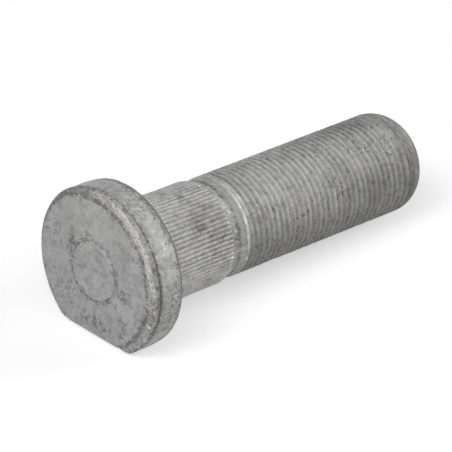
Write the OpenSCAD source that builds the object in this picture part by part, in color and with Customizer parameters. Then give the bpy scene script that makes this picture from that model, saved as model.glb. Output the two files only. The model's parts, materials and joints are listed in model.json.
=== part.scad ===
// Wheel stud in millimetres. The axis lies along X, the seat under the head is at x = 0, the thread points
// along +X and the head's flat faces down, along -Z.

/* [Thread] */
// Diameter over the thread crests
thread_d = 22; // [20:0.5:24]
// Distance from one thread crest to the next
thread_pitch = 1.5; // [1:0.25:2]

/* [Shank] */
// Length from the seat under the head to the tip
shank_len = 78.4; // [70:0.2:95]
// Radius of the rounded tip
tip_round = 6.2; // [4:0.2:8]
// Length of the plain neck between the serration and the collar
neck_len = 2; // [1.5:0.1:4]
// Length of the collar that leads from the neck up to the thread
collar_len = 2.2; // [1.5:0.1:4]
// Radius of the fillet between the seat and the shank
seat_fillet = 0.8; // [0.4:0.1:1.5]

/* [Serration] */
// Length of the serrated shank from the seat
serration_len = 20.4; // [14:0.2:28]
// Number of ribs around the shank
rib_count = 72; // [48:1:90]
// Diameter over the ribs at their far end
rib_d = 22.7; // [22.4:0.1:24]
// Growth of the diameter over the ribs towards the head
rib_growth = 1; // [0:0.1:1.6]
// Length of the stretch where the ribs grow
rib_growth_len = 12.8; // [8:0.2:13]
// Depth of the grooves at their far end
groove_depth = 0.53; // [0.3:0.01:0.6]
// Depth of the grooves where they start by the head
groove_depth_head = 0.44; // [0.25:0.01:0.5]
// Angle between the two flanks of a groove
groove_angle = 75; // [60:1:80]
// Distance of the grooves' start from the seat
groove_start = 1.6; // [1.5:0.1:3]
// Length of the bevel on the far ends of the ribs
rib_bevel = 0.4; // [0.2:0.05:0.8]

/* [Head] */
// Diameter of the head at the middle of its rim
head_d = 36.1; // [35:0.1:40]
// Thickness from the seat to the front edge of the rim
head_t = 7.05; // [6:0.05:10]
// Distance of the flat from the axis
flat_dist = 15; // [13:0.1:16.5]
// How far the middle of the rim stands out past its ends
rim_bulge = 0.2; // [0.1:0.05:0.5]
// Radius of the edge between the rim and the seat
seat_edge = 0.5; // [0.3:0.1:1]
// Width of the lip around the front edge of the rim
lip_w = 0.35; // [0.2:0.05:0.6]
// How far the lip stands out past the end of the rim
lip_out = 0.25; // [0.1:0.05:0.4]

/* [Face] */
// Diameter of the raised face
face_d = 32; // [28:0.2:33]
// Height of the raised face
face_h = 0.3; // [0.1:0.05:0.6]
// Width of the slope around the raised face
face_slope = 0.4; // [0.1:0.05:0.8]
// Offset of the face from the axis along Y
face_y = 1.2; // [0:0.1:1.2]
// Offset of the face from the axis along Z
face_z = -0.5; // [-1:0.1:0]
// Diameter of the round pad on the face
pad_d = 12.2; // [8:0.2:16]
// Height of the round pad
pad_h = 0.35; // [0.1:0.05:0.6]
// Width of the slope around the pad
pad_slope = 0.3; // [0.1:0.05:0.6]

/* [Hidden] */
$fn = 96;

steel_grey = [0.62, 0.62, 0.6];

// A rolled thread is raised from a blank of its pitch diameter, and the neck keeps that diameter.
neck_r = thread_d / 2 - thread_pitch * sqrt(3) * 3 / 16;
thread_r = thread_d / 2;
collar_x = serration_len + neck_len;
thread_x = collar_x + collar_len;
tip_r = thread_r - tip_round;
// The collar climbs steeply over a fifth of its length, and the rest of its height along what is left.
collar_foot = collar_len / 5;
collar_mid_r = (neck_r + thread_r) / 2;

rib_r = rib_d / 2;
rib_head_r = rib_r + rib_growth / 2;
rib_step = 360 / rib_count;
// The bottom of a groove is a straight line from the head to the end of the serration.
groove_run = serration_len - groove_start;
crest_r_at_start = rib_head_r - (rib_growth / 2) * min(1, groove_start / rib_growth_len);
groove_r_start = crest_r_at_start - groove_depth_head;
groove_r_end = rib_r - groove_depth;
// The bevel on the rib ends comes down half of the groove depth.
rib_end_r = rib_r - groove_depth / 2;
groove_tilt = atan((groove_r_start - groove_r_end) / groove_run);
// A groove's cutter reaches past the tallest crest and past the open end.
cutter_h = rib_growth / 2 + groove_depth + groove_depth_head;
cutter_half_w = cutter_h * tan(groove_angle / 2);
cutter_len = groove_run / cos(groove_tilt) + rib_bevel;

head_r = head_d / 2;
rim_end_r = head_r - rim_bulge;
lip_r = rim_end_r + lip_out;
rim_x0 = -head_t + 2 * lip_w;
rim_len = -rim_x0;
// The rim's bulge is an arc through its two ends and its middle.
rim_arc_r = (pow(rim_len / 2, 2) + pow(rim_bulge, 2)) / (2 * rim_bulge);
face_r = face_d / 2;
pad_r = pad_d / 2;
// How deep the face and the pad reach into the metal behind them
root = 0.5;
// Spare length for cuts and overlaps
spare = 1;

// Turns what is drawn along Z so that it lies along X. Its X side then faces down.
module along_x() {
  rotate([0, 90, 0]) children();
}

// Half section of the head before the flat is cut: radius across, length up.
module head_section() {
  // Rim between the lip and the seat edge, bounded by the bulge's arc
  intersection() {
    translate([head_r - rim_arc_r, -rim_len / 2]) circle(r = rim_arc_r, $fn = 4 * $fn);
    translate([0, -rim_len]) square([head_r, rim_len - seat_edge]);
  }
  // Rounded edge beside the seat
  translate([0, -seat_edge - spare]) square([rim_end_r - seat_edge, seat_edge + spare]);
  translate([rim_end_r - seat_edge, -seat_edge]) circle(r = seat_edge);
  // Lip at the front edge, with the crease behind it
  polygon([
    [0, -head_t],
    [lip_r, -head_t],
    [lip_r, -head_t + lip_w],
    [rim_end_r, rim_x0],
    [0, rim_x0]
  ]);
}

// The face and its pad were struck a little off the axis, so both share one centre.
module face() {
  slope_share = (face_h + root) / face_h;
  intersection() {
    translate([-head_t - face_h, face_y, face_z])
      along_x() cylinder(h = face_h + root, r1 = face_r, r2 = face_r + face_slope * slope_share);
    translate([-head_t - face_h, 0, 0])
      along_x() cylinder(h = face_h + root, r = lip_r);
  }
  translate([-head_t - face_h - pad_h, face_y, face_z])
    along_x() cylinder(h = pad_h + root, r1 = pad_r, r2 = pad_r + pad_slope * (pad_h + root) / pad_h);
}

module head() {
  difference() {
    union() {
      along_x() rotate_extrude() head_section();
      face();
    }
    translate([-head_t - face_h - spare, -lip_r - spare, -lip_r - spare])
      cube([head_t + face_h + 2 * spare, 2 * (lip_r + spare), lip_r + spare - flat_dist]);
  }
}

// Half section of the shank from inside the head to the tip: radius across, length up.
module shank_section() {
  polygon([
    [0, -root],
    [rib_head_r, -root],
    [rib_head_r, 0],
    [rib_r, rib_growth_len],
    [rib_r, serration_len - rib_bevel],
    [rib_end_r, serration_len],
    [neck_r, serration_len],
    [neck_r, collar_x],
    [collar_mid_r, collar_x + collar_foot],
    [thread_r, thread_x],
    [thread_r, shank_len - tip_round],
    [tip_r, shank_len - tip_round],
    [tip_r, shank_len],
    [0, shank_len]
  ]);
  // Rounded tip: a quarter of a circle between the thread and the end face
  intersection() {
    translate([tip_r, shank_len - tip_round]) circle(r = tip_round);
    translate([tip_r, shank_len - tip_round]) square([tip_round, tip_round]);
  }
  // Fillet between the seat and the shank
  difference() {
    translate([rib_head_r - seat_fillet, -root]) square([2 * seat_fillet, seat_fillet + root]);
    translate([rib_head_r + seat_fillet, seat_fillet]) circle(r = seat_fillet);
  }
}

// A groove's cutter: a long wedge whose sharp edge lies along the bottom of the groove.
module groove_cutter() {
  translate([groove_start, 0, groove_r_start])
    rotate([0, groove_tilt, 0])
      along_x() linear_extrude(height = cutter_len)
        polygon([[0, 0], [-cutter_h, cutter_half_w], [-cutter_h, -cutter_half_w]]);
}

module shank() {
  difference() {
    along_x() rotate_extrude() shank_section();
    for (i = [0 : rib_count - 1])
      rotate([(i + 0.5) * rib_step, 0, 0]) groove_cutter();
  }
}

module stud() {
  color(steel_grey) {
    head();
    shank();
  }
}

stud();
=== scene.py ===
# %% [markdown]
# # A serrated wheel stud
# A wheel stud is a bolt that is pressed into a hub from behind. Its parts are all one piece of steel: a
# forged head with a flat, a serrated shank that bites into the hub, a plain neck and a long fine thread.
# The solid model already has the true sizes. What it lacks is the thread's helix, the rough struck edge of
# the head and the finish, so this lesson models the whole surface again as one closed mesh over the same
# sizes.

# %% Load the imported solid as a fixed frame
import json
import math

import bpy
import numpy as np
from mathutils import Matrix, Vector


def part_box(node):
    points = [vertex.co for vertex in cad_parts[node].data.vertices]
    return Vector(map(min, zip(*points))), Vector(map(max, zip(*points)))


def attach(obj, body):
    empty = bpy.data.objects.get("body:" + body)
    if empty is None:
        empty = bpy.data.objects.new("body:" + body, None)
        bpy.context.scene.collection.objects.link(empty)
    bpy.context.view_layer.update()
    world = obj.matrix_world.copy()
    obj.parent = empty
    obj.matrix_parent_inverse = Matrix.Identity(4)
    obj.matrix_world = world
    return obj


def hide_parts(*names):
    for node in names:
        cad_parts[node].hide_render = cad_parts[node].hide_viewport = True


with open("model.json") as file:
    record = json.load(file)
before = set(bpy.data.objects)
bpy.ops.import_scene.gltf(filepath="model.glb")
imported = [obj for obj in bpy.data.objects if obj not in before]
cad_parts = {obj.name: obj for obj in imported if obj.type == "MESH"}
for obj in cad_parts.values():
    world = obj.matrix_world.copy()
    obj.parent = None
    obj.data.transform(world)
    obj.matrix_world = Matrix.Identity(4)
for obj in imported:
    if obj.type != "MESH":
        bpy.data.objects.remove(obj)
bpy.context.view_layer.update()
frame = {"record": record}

# %% [markdown]
# Sizes that the record states are read from it, so the looks follow the solid if it changes. Sizes that
# only the finish needs, such as the width of the struck band, are named where they are first used.
# Everything is in metres, and MM turns a size in millimetres into metres.

# %% Sizes from the record and the solid's box
MM = 0.001
mounts = {mount["name"]: mount for mount in frame["record"]["mounts"]}
low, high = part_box("stud")

thread_r = mounts["thread"]["dims"]["r_mm"] * MM
thread_mid = mounts["thread"]["pos_m"][0]
thread_len = mounts["thread"]["dims"]["length_mm"] * MM
thread_x0 = thread_mid - thread_len / 2
thread_x1 = thread_mid + thread_len / 2

rib_count = mounts["serration"]["dims"]["count"]
rib_r = mounts["serration"]["dims"]["r_mm"] * MM
rib_end_x = mounts["serration"]["dims"]["length_mm"] * MM

tip_x = high.x
tip_round = tip_x - thread_x1
tip_r = thread_r - tip_round
pad_x = low.x
lip_r = high.y
flat_z = low.z
print(f"thread from {thread_x0 / MM:.1f} to {thread_x1 / MM:.1f} mm")
print(f"{rib_count} ribs, flat at {flat_z / MM:.1f} mm")

# %% [markdown]
# A few small helpers do what a hand does in the viewport. `only` makes one object the active one, `places`
# reads where its points are, and `choose` selects some of its points and goes into edit mode.

# %% Helpers for selecting by place
def only(piece):
    """Selects this object alone, in object mode."""
    if bpy.context.mode != "OBJECT":
        bpy.ops.object.mode_set(mode="OBJECT")
    bpy.ops.object.select_all(action="DESELECT")
    piece.select_set(True)
    bpy.context.view_layer.objects.active = piece


def places(piece):
    """The points of an object as rows of x, y and z."""
    only(piece)
    co = np.empty(len(piece.data.vertices) * 3)
    piece.data.vertices.foreach_get("co", co)
    return co.reshape(-1, 3)


def choose(piece, chosen):
    """Selects the points for which chosen is true, and stays in edit mode."""
    only(piece)
    mesh = piece.data
    mesh.vertices.foreach_set("select", np.asarray(chosen, dtype=bool))
    mesh.edges.foreach_set("select", np.zeros(len(mesh.edges), dtype=bool))
    mesh.polygons.foreach_set("select", np.zeros(len(mesh.polygons), dtype=bool))
    bpy.ops.object.mode_set(mode="EDIT")
    bpy.ops.mesh.select_mode(type="VERT")


def radius_of(co, centre=(0, 0)):
    """Distance of each point from an axis that runs along X through centre."""
    return np.hypot(co[:, 1] - centre[0], co[:, 2] - centre[1])


# %% [markdown]
# Turned and rolled parts are bodies of revolution, so each starts as half of its section: a chain of edges
# in the XZ plane. A plane is merged to one point and that point is extruded along the section, corner by
# corner. `spin` then carries the chain around the axis. It works as a lathe does, and it gives every ring
# the same number of points, so that rings can be bridged later.

# %% Helper that draws a half section
def draw_section(name, points):
    """Draws a chain of edges through (x, radius) points in the XZ plane."""
    if bpy.context.mode != "OBJECT":
        bpy.ops.object.mode_set(mode="OBJECT")
    bpy.ops.object.select_all(action="DESELECT")
    bpy.ops.mesh.primitive_plane_add(size=MM)
    chain = bpy.context.object
    chain.name = name
    bpy.ops.object.mode_set(mode="EDIT")
    bpy.ops.mesh.select_all(action="SELECT")
    bpy.ops.mesh.merge(type="CENTER")
    bpy.ops.transform.translate(value=(points[0][0], 0, points[0][1]))
    for (x0, r0), (x1, r1) in zip(points, points[1:]):
        bpy.ops.mesh.extrude_region_move(TRANSFORM_OT_translate={"value": (x1 - x0, 0, r1 - r0)})
    bpy.ops.object.mode_set(mode="OBJECT")
    return chain


# %% Helpers that spin a section and step along a line
MERGE = 0.001 * MM


def spin_section(chain, columns, centre=(0, 0)):
    """Spins a chain once around an axis along X. centre is the axis's place in y and z."""
    only(chain)
    bpy.ops.object.mode_set(mode="EDIT")
    bpy.ops.mesh.select_all(action="SELECT")
    bpy.ops.transform.translate(value=(0, *centre))
    bpy.ops.mesh.spin(steps=columns, angle=2 * math.pi, center=(0, *centre), axis=(1, 0, 0))
    bpy.ops.mesh.select_all(action="SELECT")
    bpy.ops.mesh.remove_doubles(threshold=MERGE)
    bpy.ops.object.mode_set(mode="OBJECT")
    print(f"{chain.name}: {len(chain.data.vertices)} points, {len(chain.data.polygons)} faces")
    return chain


def steps_between(start, end, spacing):
    """Evenly spaced values from start to end, end included and start left out."""
    count = max(1, round(abs(end - start) / spacing))
    return [start + (end - start) * (i + 1) / count for i in range(count)]


def line_to(points, x, r, spacing):
    """Adds points on a straight line from the last point to (x, r)."""
    x0, r0 = points[-1]
    run = math.hypot(x - x0, r - r0)
    for s in steps_between(0, 1, spacing / run):
        points.append((x0 + (x - x0) * s, r0 + (r - r0) * s))


# %% [markdown]
# The head's face was struck by a die that sat a little off the axis. The raised disc and the round pad in
# its middle share that centre, so both are spun around it, not around the stud's own axis. The middle has
# fewer columns than the rim: points that crowd together at a pole only cost memory.

# %% The struck face: pad and disc
face_centre = (1.2 * MM, -0.5 * MM)
pad_h = 0.35 * MM
face_h = 0.3 * MM
face_x = pad_x + pad_h
band_x = face_x + face_h
pad_r = 6.1 * MM
pad_slope = 0.3 * MM
pad_foot = 0.07 * MM
face_r = 16 * MM
face_slope = 0.4 * MM
HEAD_COLUMNS = 384
CORE_COLUMNS = HEAD_COLUMNS // 3
core_r = 13 * MM

core_section = [(pad_x, 0)]
line_to(core_section, pad_x, pad_r - 0.15 * MM, spacing=0.35 * MM)
core_section += [
    (pad_x + 0.05 * MM, pad_r),
    (face_x - 0.03 * MM, pad_r + pad_slope),
    (face_x + pad_foot, pad_r + pad_slope + 0.15 * MM),
    (face_x + pad_foot, pad_r + pad_slope + 0.4 * MM),
    (face_x, pad_r + pad_slope + 0.8 * MM),
]
line_to(core_section, face_x, core_r, spacing=0.6 * MM)
core = spin_section(draw_section("core", core_section), CORE_COLUMNS, face_centre)

rim_section = [(face_x, core_r + 0.3 * MM)]
line_to(rim_section, face_x, face_r - 0.1 * MM, spacing=0.3 * MM)
rim_section += [(face_x + 0.05 * MM, face_r), (band_x - 0.05 * MM, face_r + face_slope - 0.05 * MM)]
disc = spin_section(draw_section("disc", rim_section), HEAD_COLUMNS, face_centre)

# %% [markdown]
# The lip, the rim and the seat are turned around the stud's own axis. The lip stands a little proud of the
# rim and leaves a crease behind it, and the rim bulges as a forged head does. A bevelled cylinder would
# come close, but a drawn section sets each radius.

# %% The rest of the head: lip, rim and seat
lip_w = 0.35 * MM
crease_x = band_x + 2 * lip_w
crease_depth = 0.13 * MM
rim_end_r = lip_r - 0.25 * MM
rim_mid_r = lip_r - 0.05 * MM
seat_edge = 0.5 * MM
seat_fillet = 0.8 * MM
rib_growth = 0.5 * MM
seat_r = rib_r + rib_growth + seat_fillet
band_end_r = lip_r - 0.3 * MM
rim_start_x = crease_x + 0.27 * MM


def arc(points, centre, r, start, end, spacing):
    """Adds points on an arc around centre, from start to end in degrees."""
    for a in steps_between(start, end, math.degrees(spacing / r)):
        points.append((centre[0] + r * math.cos(math.radians(a)), centre[1] + r * math.sin(math.radians(a))))


head_section = [
    (band_x, band_end_r),
    (band_x + 0.01 * MM, lip_r - 0.17 * MM),
    (band_x + 0.08 * MM, lip_r - 0.07 * MM),
    (band_x + 0.2 * MM, lip_r - 0.01 * MM),
    (band_x + lip_w, lip_r),
    (band_x + 1.4 * lip_w, lip_r - 0.08 * MM),
    (crease_x - 0.07 * MM, rim_end_r),
    (crease_x + 0.02 * MM, rim_end_r - crease_depth),
    (crease_x + 0.13 * MM, rim_end_r - 0.8 * crease_depth),
    (rim_start_x, rim_end_r - 0.01 * MM),
]
rim_len = -seat_edge - rim_start_x
for share in steps_between(0, 1, 0.3 * MM / rim_len):
    bulge = (rim_mid_r - rim_end_r) * (1 - (2 * share - 1) ** 2)
    head_section.append((rim_start_x + rim_len * share, rim_end_r + bulge))
arc(head_section, (-seat_edge, rim_end_r - seat_edge), seat_edge, 90, 0, spacing=0.2 * MM)
line_to(head_section, 0, seat_r + 0.4 * MM, spacing=0.7 * MM)
head = spin_section(draw_section("head", head_section), HEAD_COLUMNS)

# %% [markdown]
# The shank is the next turned part. A small fillet leads out of the seat, the serrated stretch tapers a
# little away from the head, and behind it come the plain neck and the collar that climbs to the thread. The
# columns are eight to a rib, because the ribs are made from them in the next step.

# %% Sizes of the shank
RIB_COLUMNS = 8
COLUMNS = rib_count * RIB_COLUMNS
rib_growth_len = 12.8 * MM
rib_bevel = 0.4 * MM
groove_depth = 0.53 * MM
groove_depth_head = 0.44 * MM
groove_start = 1.6 * MM
pitch = 1.5 * MM
# A blank has the thread's pitch radius before the thread is rolled, and the neck keeps it.
neck_r = thread_r - pitch * math.sqrt(3) * 3 / 16
neck_len = 2 * MM
collar_x = rib_end_x + neck_len
collar_mid_r = (neck_r + thread_r) / 2


def rib_crest_r(x):
    """Radius over the ribs at a distance x from the seat."""
    return rib_r + rib_growth * max(0, 1 - x / rib_growth_len)


print(f"{COLUMNS} columns, neck {neck_r / MM:.2f} mm in radius, collar from {collar_x / MM:.1f} mm")

# %% Turn the shank as far as the thread
shank_section = [(0, seat_r)]
arc(shank_section, (seat_fillet, seat_r), seat_fillet, 180, 270, spacing=0.3 * MM)
line_to(shank_section, groove_start, rib_crest_r(groove_start), spacing=0.4 * MM)
line_to(shank_section, rib_growth_len, rib_r, spacing=0.9 * MM)
line_to(shank_section, rib_end_x - rib_bevel, rib_r, spacing=0.9 * MM)
shank_section += [
    (rib_end_x - 0.15 * MM, rib_r - 0.08 * MM),
    (rib_end_x, rib_r - groove_depth / 2),
    (rib_end_x + 0.04 * MM, rib_r - groove_depth - 0.1 * MM),
    (rib_end_x + 0.1 * MM, neck_r + 0.08 * MM),
    (rib_end_x + 0.25 * MM, neck_r),
]
line_to(shank_section, collar_x - 0.1 * MM, neck_r, spacing=0.35 * MM)
shank_section += [
    (collar_x + 0.1 * MM, neck_r + 0.04 * MM),
    (collar_x + 0.35 * MM, collar_mid_r - 0.03 * MM),
    (collar_x + 0.55 * MM, collar_mid_r + 0.02 * MM),
]
line_to(shank_section, thread_x0 - 0.55 * MM, thread_r - 0.19 * MM, spacing=0.3 * MM)
shank_section += [
    (thread_x0 - 0.42 * MM, thread_r - 0.14 * MM),
    (thread_x0 - 0.25 * MM, thread_r - 0.03 * MM),
    (thread_x0 - 0.12 * MM, thread_r - 0.005 * MM),
]
shank = spin_section(draw_section("shank", shank_section), COLUMNS)

# %% [markdown]
# The ribs are pressed in by a knurling roll. Eight columns of points stand for one rib. The columns of a
# groove are drawn in towards the axis, the middle one all the way and its neighbours by less, which leaves
# a narrow crest. The grooves run out in the solid shank near the head and stay open at the far end. Cutting
# the grooves with booleans would take long and leave slivers where they run out.

# %% Roll the serration
# Shares of the groove's depth for its middle column and for the next ones on both sides.
SHAPE_BY_HEAD = [0.6, 0.15, 0.0, 0.0]
SHAPE_AT_END = [0.96, 0.66, 0.32, 0.06]
groove_fade = 0.5 * MM


def groove_at(x):
    """Depth of a groove at a distance x from the seat."""
    run = (x - groove_start) / (rib_end_x - groove_start)
    depth = groove_depth_head + (groove_depth - groove_depth_head) * run
    return depth * min(1, max(0, (x - groove_start) / groove_fade))


co = places(shank)
angle = np.degrees(np.arctan2(co[:, 2], co[:, 1]))
column = np.round((angle - 90) / (360 / COLUMNS)).astype(int) % RIB_COLUMNS
from_groove = np.abs(column - RIB_COLUMNS // 2)
in_ribs = (co[:, 0] > groove_start + MERGE) & (co[:, 0] < rib_end_x + 0.02 * MM)
rings = sorted(set(np.round(co[in_ribs, 0] / MERGE).astype(int)))
for ring in rings:
    on_ring = in_ribs & (np.abs(co[:, 0] / MERGE - ring) < 1)
    ring_x = ring * MERGE
    ring_r = radius_of(co[on_ring]).mean()
    run = (ring_x - groove_start) / (rib_end_x - groove_start)
    for steps, (near, far) in enumerate(zip(SHAPE_BY_HEAD, SHAPE_AT_END)):
        share = near + (far - near) * run
        target = rib_crest_r(ring_x) - groove_at(ring_x) * share
        if target >= ring_r:
            continue
        scale = target / ring_r
        choose(shank, on_ring & (from_groove == steps))
        bpy.ops.transform.resize(value=(1, scale, scale), center_override=(ring_x, 0, 0))
print(f"grooves drawn in on {len(rings)} rings, {groove_depth / MM:.2f} mm deep at the far end")

# %% [markdown]
# A rolled thread is a helix. One pitch of its profile is drawn as a chain, and the Screw modifier carries
# it round and along the axis at once. The profile is a 60 degree vee with a flat crest and a rounded root,
# as on any metric thread. Bump in the material would be cheaper, but the crests show in the outline, so
# they are modelled.

# %% Roll the thread
THREAD_COLUMNS = 104
# The helix starts where this puts a crest, as if it ran on towards the head.
crest_x = 1.714 * MM
thread_depth = 0.5 * pitch
# Half of the profile, as shares of the pitch and of the depth.
VEE_HALF = [(0, 0), (0.13, 0.02), (0.19, 0.14), (0.3, 0.56), (0.4, 0.9), (0.5, 1)]
VEE = VEE_HALF + [(1 - share, depth) for share, depth in reversed(VEE_HALF[:-1])]
first_turn = math.floor((thread_x0 - crest_x) / pitch) - 1
turns = math.ceil((tip_x - thread_x0) / pitch) + 2
vee_x = crest_x + first_turn * pitch
vee = [(vee_x + share * pitch, thread_r - thread_depth * depth) for share, depth in VEE]
thread = draw_section("thread", vee)
only(thread)
bpy.ops.object.modifier_add(type="SCREW")
screw = thread.modifiers[-1]
screw.axis = "X"
screw.angle = 2 * math.pi
screw.screw_offset = pitch
screw.iterations = turns
screw.steps = THREAD_COLUMNS
screw.render_steps = THREAD_COLUMNS
bpy.ops.object.modifier_apply(modifier=screw.name)
bpy.ops.object.mode_set(mode="EDIT")
bpy.ops.mesh.select_all(action="SELECT")
bpy.ops.mesh.remove_doubles(threshold=MERGE)
co = places(thread)
print(f"thread: {len(co)} points, x from {co[:, 0].min() / MM:.2f} to {co[:, 0].max() / MM:.2f} mm")

# %% [markdown]
# The blank was rounded at its end before it was rolled, so the crests follow that rounding and fade out on
# it. At the collar the rolls bite gradually. Cutting both with booleans would leave slivers along the
# helix, so each point of the profile is drawn in to its limit, along its own radius.

# %% Let the thread run out at both ends
run_in = 1.7 * MM
run_in_x = thread_x0 + 0.05 * MM
run_out_x0 = thread_x1 - 5 * MM
run_out_x1 = thread_x1 + 0.6 * MM
RUN_OUT_SHARE = 0.93
TIP_SHARE = 0.25


def envelope_r(x):
    """Radius of the rounded blank at x, for an array of places."""
    over = np.clip(x - thread_x1, 0, tip_round)
    return tip_r + np.sqrt(tip_round**2 - over**2)


def fade(values, start, end):
    """Goes smoothly from 0 at start to 1 at end, for an array."""
    share = np.clip((values - start) / (end - start), 0, 1)
    return share * share * (3 - 2 * share)


co = places(thread)
r = radius_of(co)
run_out = RUN_OUT_SHARE * fade(co[:, 0], run_out_x0, run_out_x1)
bite = fade(co[:, 0], run_in_x, run_in_x + run_in) * (1 - run_out)
depth = (thread_r - r) * bite
shaped_r = np.minimum(thread_r - depth, envelope_r(co[:, 0]) - TIP_SHARE * depth)
co[:, 1:] *= (shaped_r / r)[:, None]
thread.data.vertices.foreach_set("co", co.ravel())
thread_cut_x1 = tip_x - 2.6 * MM
for cut_x, side in ((run_in_x, -1), (thread_cut_x1, 1)):
    choose(thread, np.ones(len(thread.data.vertices)))
    bpy.ops.mesh.bisect(plane_co=(cut_x, 0, 0), plane_no=(side, 0, 0), clear_outer=True)
    bpy.ops.mesh.select_all(action="SELECT")
    bpy.ops.mesh.remove_doubles(threshold=10 * MERGE)
co = places(thread)
print(f"thread runs from {co[:, 0].min() / MM:.2f} to {co[:, 0].max() / MM:.2f} mm")

# %% [markdown]
# The tip is the last of the turned parts: the rest of the rounding and the flat end, spun with as many
# columns as the thread has. One large face would do for the flat end, but rings around its middle shade
# more evenly.

# %% Turn the tip
tip_centre = (thread_x1, tip_r)
tip_start = math.degrees(math.acos((thread_cut_x1 + 0.2 * MM - thread_x1) / tip_round))
tip_first = math.radians(tip_start)
tip_section = [(thread_x1 + tip_round * math.cos(tip_first), tip_r + tip_round * math.sin(tip_first))]
arc(tip_section, tip_centre, tip_round, tip_start, 4, spacing=0.3 * MM)
tip_section.append((tip_x, tip_r - 0.3 * MM))
line_to(tip_section, tip_x, 0, spacing=0.8 * MM)
tip = spin_section(draw_section("tip", tip_section), THREAD_COLUMNS)

# %% [markdown]
# The turned parts meet edge to edge with a narrow gap between them. They are joined into one object, and at
# each gap the two open rims are selected by their place and bridged. The widest gap, between the off-centre
# disc and the lip, gets extra cuts: it becomes the struck band, wide on one side of the head and narrow on
# the other. A remesh would close the gaps too, but it would blur the ribs.

# %% Join the parts
only(head)
for part in (core, disc, shank, thread, tip):
    part.select_set(True)
bpy.ops.object.join()
stud = bpy.context.object
stud.name = "stud_steel"
stud.data.name = "stud_steel"
print(f"{stud.name}: {len(stud.data.vertices)} points before it is closed")


# %% Helpers that find an open rim and bridge two of them
def open_rims(piece):
    """True for each point on an edge that has only one face."""
    only(piece)
    bpy.ops.object.mode_set(mode="EDIT")
    bpy.ops.mesh.select_mode(type="EDGE")
    bpy.ops.mesh.select_all(action="DESELECT")
    bpy.ops.mesh.select_non_manifold(extend=False)
    bpy.ops.object.mode_set(mode="OBJECT")
    rim = np.zeros(len(piece.data.vertices), dtype=bool)
    piece.data.vertices.foreach_get("select", rim)
    return rim


def bridge(piece, near, cuts=0):
    """Bridges the two open rims whose points pass near, a test on all points."""
    rim = open_rims(piece)
    choose(piece, rim & near(places(piece)))
    bpy.ops.mesh.bridge_edge_loops(number_cuts=cuts, interpolation="LINEAR")
    bpy.ops.object.mode_set(mode="OBJECT")
    print(f"bridged {int((rim & near(places(piece))[:len(rim)]).sum())} rim points")


# %% Bridge the gaps
BAND_CUTS = 11
bridge(stud, lambda co: (co[:, 0] < crease_x) & (radius_of(co, face_centre) < core_r + 0.5 * MM))
bridge(stud, lambda co: (co[:, 0] < crease_x) & (radius_of(co, face_centre) > face_r), BAND_CUTS)
bridge(stud, lambda co: np.abs(co[:, 0]) < MERGE)
bridge(stud, lambda co: (co[:, 0] > collar_x) & (co[:, 0] < thread_x0 + pitch))
bridge(stud, lambda co: co[:, 0] > thread_x1)

# %% Turn all faces outwards
only(stud)
bpy.ops.object.mode_set(mode="EDIT")
bpy.ops.mesh.select_all(action="SELECT")
bpy.ops.mesh.normals_make_consistent(inside=False)
bpy.ops.object.mode_set(mode="OBJECT")
print(f"points on open rims: {int(open_rims(stud).sum())}")

# %% [markdown]
# The flat stops the head from turning in the hub. The head is cut with `bisect` a little above the flat,
# points that crowd along the cut are merged, and the open rim is extruded down in four steps that also draw
# it in. That gives the rounded edge which a press leaves, even all round. Two more rings lie on the flat as
# its border, and one face, split into triangles, fills what is left. The Bevel modifier would be shorter,
# but it stumbles where the crease meets the cut.

# %% Cut the head level above the flat
flat_round = 0.5 * MM
behind_seat = 0.3 * MM
near_cut = 0.06 * MM
crowded = 0.04 * MM
choose(stud, places(stud)[:, 0] < behind_seat)
bpy.ops.mesh.bisect(plane_co=(0, 0, flat_z + flat_round), plane_no=(0, 0, -1), clear_outer=True)
choose(stud, places(stud)[:, 2] < flat_z + flat_round + near_cut)
bpy.ops.mesh.remove_doubles(threshold=crowded)
rim = open_rims(stud)
print(f"cut at the flat: {int(rim.sum())} points on the rim")

# %% Round the edge and close the flat
flat_borders = (0.3 * MM, 0.6 * MM)
round_lean = 0.3
rim_co = places(stud)[rim]
rim_low, rim_high = rim_co.min(axis=0), rim_co.max(axis=0)
rim_mid = (rim_low + rim_high) / 2
span_x, span_y = (rim_high - rim_low)[:2]
# The sides of the head already lean in here, so they are drawn in as far as the round head would be.
side_lean = abs(flat_z) / math.sqrt(lip_r**2 - flat_z**2)
bpy.ops.object.mode_set(mode="EDIT")
bpy.ops.mesh.select_mode(type="EDGE")
bpy.ops.mesh.select_all(action="DESELECT")
bpy.ops.mesh.select_non_manifold(extend=False)
bpy.ops.transform.resize(value=(1, 1, 0), center_override=(0, 0, flat_z + flat_round))
rings = []
for a in (22.5, 45, 67.5, 90):
    drop = flat_round * math.sin(math.radians(a))
    turn = flat_round * (1 - math.cos(math.radians(a)))
    lean = side_lean * drop + round_lean * turn
    rings.append((drop, turn, lean))
for border in flat_borders:
    rings.append((flat_round, turn + border, lean + border))
in_x = in_y = dropped = 0
for drop, turn, lean in rings:
    bpy.ops.mesh.extrude_edges_move(TRANSFORM_OT_translate={"value": (0, 0, dropped - drop)})
    narrow_x = (span_x - 2 * turn) / (span_x - 2 * in_x)
    narrow_y = (span_y - 2 * lean) / (span_y - 2 * in_y)
    bpy.ops.transform.resize(value=(narrow_x, narrow_y, 1), center_override=(rim_mid[0], 0, 0))
    in_x, in_y, dropped = turn, lean, drop
bpy.ops.mesh.edge_face_add()
bpy.ops.mesh.quads_convert_to_tris()
bpy.ops.mesh.select_all(action="SELECT")
bpy.ops.mesh.normals_make_consistent(inside=False)
bpy.ops.object.mode_set(mode="OBJECT")
print(f"after the flat: {len(stud.data.vertices)} points, open {int(open_rims(stud).sum())}")

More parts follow.
